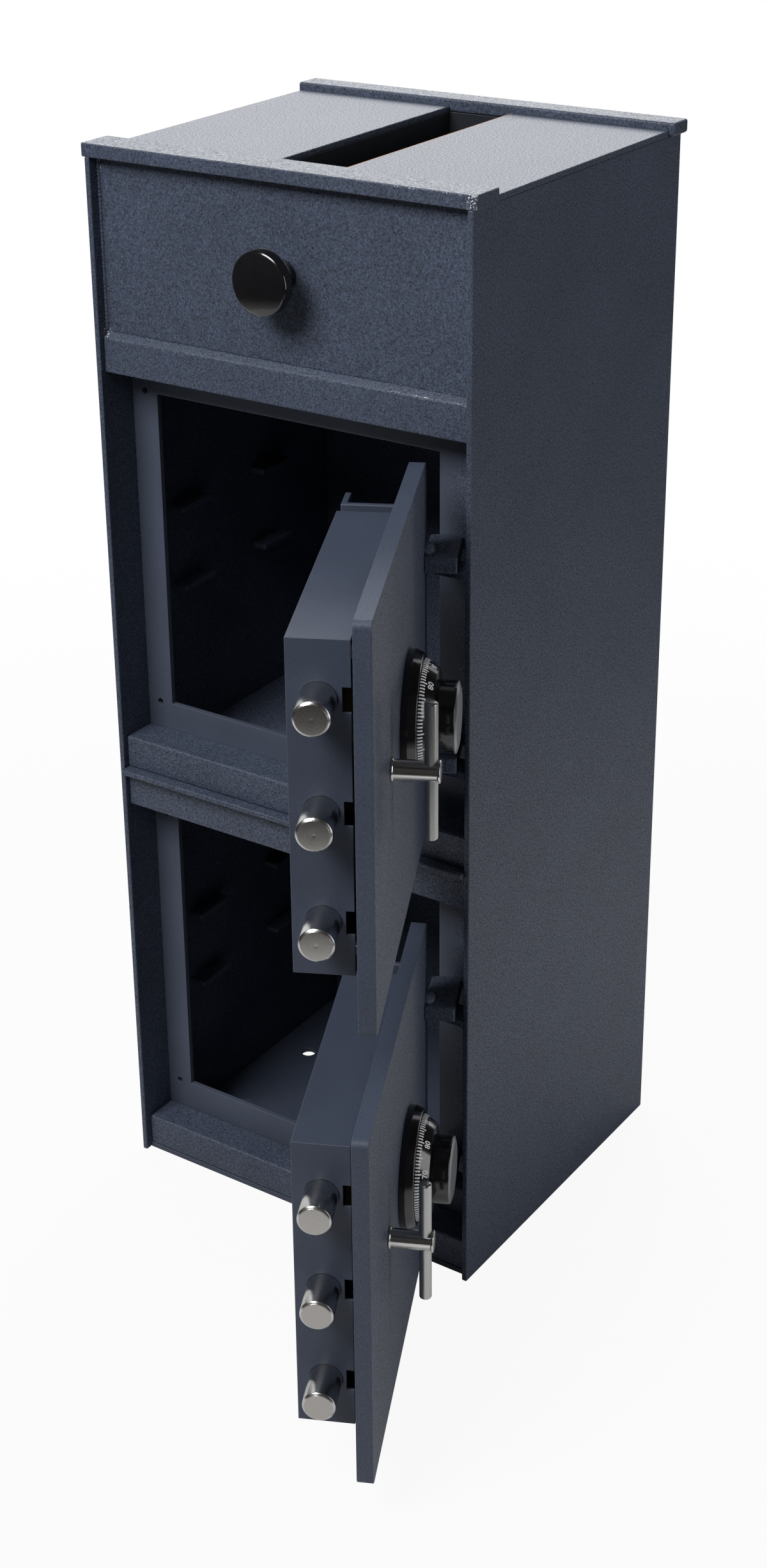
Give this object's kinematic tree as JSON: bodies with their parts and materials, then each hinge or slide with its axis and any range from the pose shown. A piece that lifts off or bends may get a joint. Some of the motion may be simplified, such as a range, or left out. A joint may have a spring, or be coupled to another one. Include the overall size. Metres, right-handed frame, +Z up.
{
  "type": "drop safe",
  "caption": "Upright steel drop safe with two hinged bolt-work doors, combination dials, T handles and a knob-turned rotary deposit trough under a top slot.",
  "frame": {"origin": "centre of the rectangular base on its underside, which is also the centre of the four anchor holes", "axes": "+Z up, front towards -Y, +X to the right of someone facing the front, where the door hinges are"},
  "size_m": [0.4584, 0.6216, 0.94],
  "materials": {
    "casing_paint": "textured speckled slate powder coat",
    "inner_paint": "smooth satin blue-grey paint",
    "chute_steel": "satin paint over sheet steel",
    "bolt_chrome": "polished, turned end faces",
    "handle_steel": "satin bar",
    "dial_black": "gloss black with plain white marks",
    "knob_black": "gloss black",
    "zinc": "zinc-plated steel",
    "brass": "cast and turned"
  },
  "bodies": {
    "casing": {"side_wall_left": "casing_paint", "side_wall_right": "casing_paint", "back_panel": "casing_paint", "floor_plate": "inner_paint", "top_plate_left": "casing_paint", "top_plate_right": "casing_paint", "front_top_bar": "casing_paint", "rear_lip_bar": "casing_paint", "head_panel": "casing_paint", "upper_lintel": "casing_paint", "mid_sill": "casing_paint", "divider_plate": "casing_paint", "lower_lintel": "casing_paint", "bottom_sill": "casing_paint", "upper_door_frame": "inner_paint", "lower_door_frame": "inner_paint", "ceiling_plate": "inner_paint", "hopper_left": "chute_steel", "hopper_right": "chute_steel", "hopper_front": "chute_steel", "hopper_rear": "chute_steel", "shaft_bushes": "brass", "shelf_tabs": "inner_paint", "hinge_lugs": "casing_paint", "hinge_pins": "zinc"},
    "deposit": {"deposit_trough": "zinc", "deposit_shaft": "zinc", "deposit_knob": "knob_black"},
    "upper_door": {"upper_door_plate": "casing_paint", "upper_hinge_arms": "casing_paint", "upper_bolt_box": "inner_paint", "upper_box_posts": "zinc", "upper_dead_bar": "inner_paint", "upper_lock_case": "brass", "upper_lock_bolt": "zinc", "upper_combination_wheels": "brass", "upper_dial_ring": "dial_black"},
    "upper_bolt_slide": {"upper_bolts": "bolt_chrome", "upper_bolt_carrier": "zinc"},
    "upper_handle": {"upper_handle_stem": "bolt_chrome", "upper_handle_bar": "handle_steel", "upper_crank": "zinc"},
    "upper_dial_set": {"upper_dial": "dial_black", "upper_dial_spindle": "zinc"},
    "lower_door": {"lower_door_plate": "casing_paint", "lower_hinge_arms": "casing_paint", "lower_bolt_box": "inner_paint", "lower_box_posts": "zinc", "lower_dead_bar": "inner_paint", "lower_lock_case": "brass", "lower_lock_bolt": "zinc", "lower_combination_wheels": "brass", "lower_dial_ring": "dial_black"},
    "lower_bolt_slide": {"lower_bolts": "bolt_chrome", "lower_bolt_carrier": "zinc"},
    "lower_handle": {"lower_handle_stem": "bolt_chrome", "lower_handle_bar": "handle_steel", "lower_crank": "zinc"},
    "lower_dial_set": {"lower_dial": "dial_black", "lower_dial_spindle": "zinc"}
  },
  "joints": [
    {"name": "deposit_knob_turn", "type": "hinge", "parent": "casing", "child": "deposit", "pos_m": [0.003, -0.1585, 0.857], "axis": [0, 1, 0], "range_deg": [0, 180]},
    {"name": "upper_door_hinge", "type": "hinge", "parent": "casing", "child": "upper_door", "pos_m": [0.1455, -0.1476, 0.579], "axis": [0, 0, 1], "range_deg": [-116.4, 0]},
    {"name": "upper_bolt_travel", "type": "slide", "parent": "upper_door", "child": "upper_bolt_slide", "axis": [-0.4446, 0.8957, 0], "range_m": [0, 0.0351]},
    {"name": "upper_handle_turn", "type": "hinge", "parent": "upper_door", "child": "upper_handle", "pos_m": [0.23614, -0.35492, 0.5899], "axis": [-0.8957, -0.4446, 0], "range_deg": [0, 90.2]},
    {"name": "upper_dial_turn", "type": "hinge", "parent": "upper_door", "child": "upper_dial_set", "pos_m": [0.19367, -0.26938, 0.5865], "axis": [-0.8957, -0.4446, 0], "continuous": true},
    {"name": "lower_door_hinge", "type": "hinge", "parent": "casing", "child": "lower_door", "pos_m": [0.1455, -0.1476, 0.1856], "axis": [0, 0, 1], "range_deg": [-115.2, 0]},
    {"name": "lower_bolt_travel", "type": "slide", "parent": "lower_door", "child": "lower_bolt_slide", "axis": [-0.4258, 0.9048, 0], "range_m": [0, 0.0351]},
    {"name": "lower_handle_turn", "type": "hinge", "parent": "lower_door", "child": "lower_handle", "pos_m": [0.23177, -0.35677, 0.1965], "axis": [-0.9048, -0.4258, 0], "range_deg": [0, 90.2]},
    {"name": "lower_dial_turn", "type": "hinge", "parent": "lower_door", "child": "lower_dial_set", "pos_m": [0.19111, -0.27036, 0.1931], "axis": [-0.9048, -0.4258, 0], "continuous": true}
  ],
  "couplings": [
    {"joint": "upper_bolt_travel", "follows": "upper_door_hinge", "m_per_rad": -0.017228},
    {"joint": "upper_handle_turn", "follows": "upper_door_hinge", "ratio": -0.7732},
    {"joint": "lower_bolt_travel", "follows": "lower_door_hinge", "m_per_rad": -0.017408},
    {"joint": "lower_handle_turn", "follows": "lower_door_hinge", "ratio": -0.78125}
  ]
}
